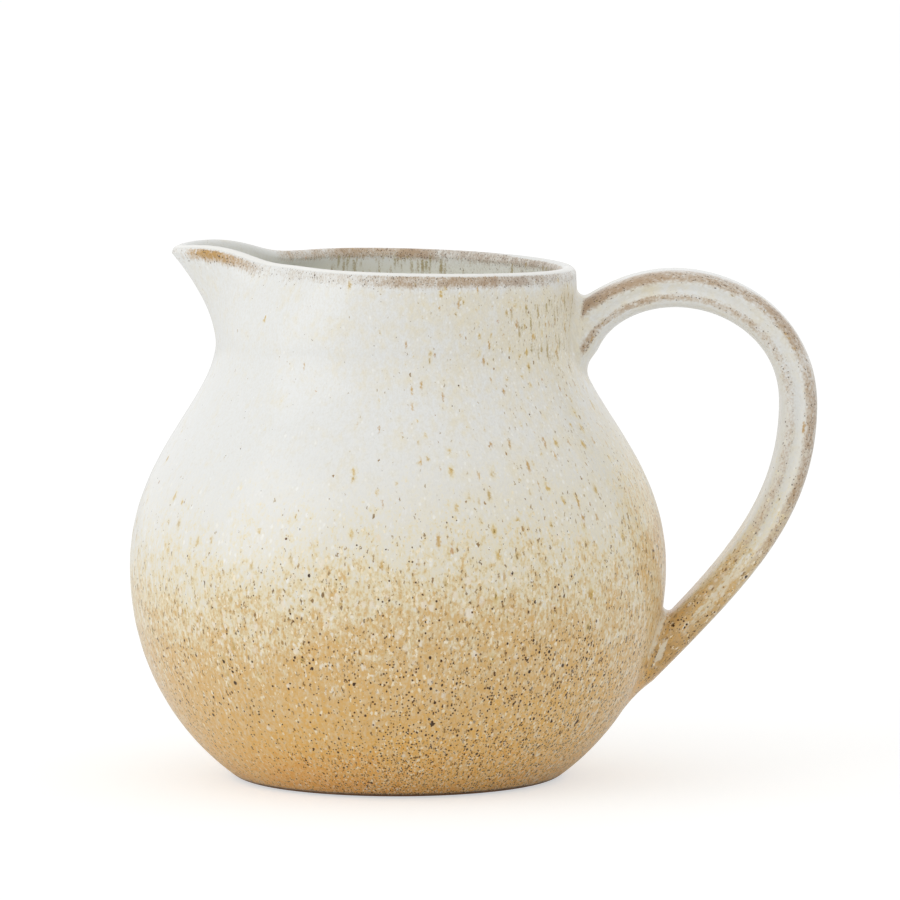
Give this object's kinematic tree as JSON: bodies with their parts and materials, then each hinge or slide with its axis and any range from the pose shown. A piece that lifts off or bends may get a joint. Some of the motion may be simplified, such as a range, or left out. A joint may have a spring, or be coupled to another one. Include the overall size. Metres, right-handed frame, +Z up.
{
  "type": "milk jug",
  "caption": "Round-bellied stoneware milk jug with a pulled spout, a strap handle and a white over honey reactive glaze.",
  "frame": {"origin": "on the pot's axis, in the plane that the foot stands on", "axes": "+Z up along the pot's axis, +X towards the handle, -X towards the spout, the jug alike on both sides of Y = 0"},
  "size_m": [0.1511, 0.118, 0.1179],
  "materials": {
    "stoneware_clay": "bare fired clay, matt",
    "joining_slip": "fired slip, matt",
    "white_glaze": "satin reactive glaze",
    "honey_glaze": "satin reactive glaze",
    "liner_glaze": "satin liner glaze"
  },
  "bodies": {
    "root": {"pot": "stoneware_clay", "handle": "stoneware_clay", "upper_slip": "joining_slip", "lower_slip": "joining_slip", "white_glaze": "white_glaze", "honey_glaze": "honey_glaze", "liner_glaze": "liner_glaze", "handle_white_glaze": "white_glaze", "handle_honey_glaze": "honey_glaze"}
  },
  "joints": []
}
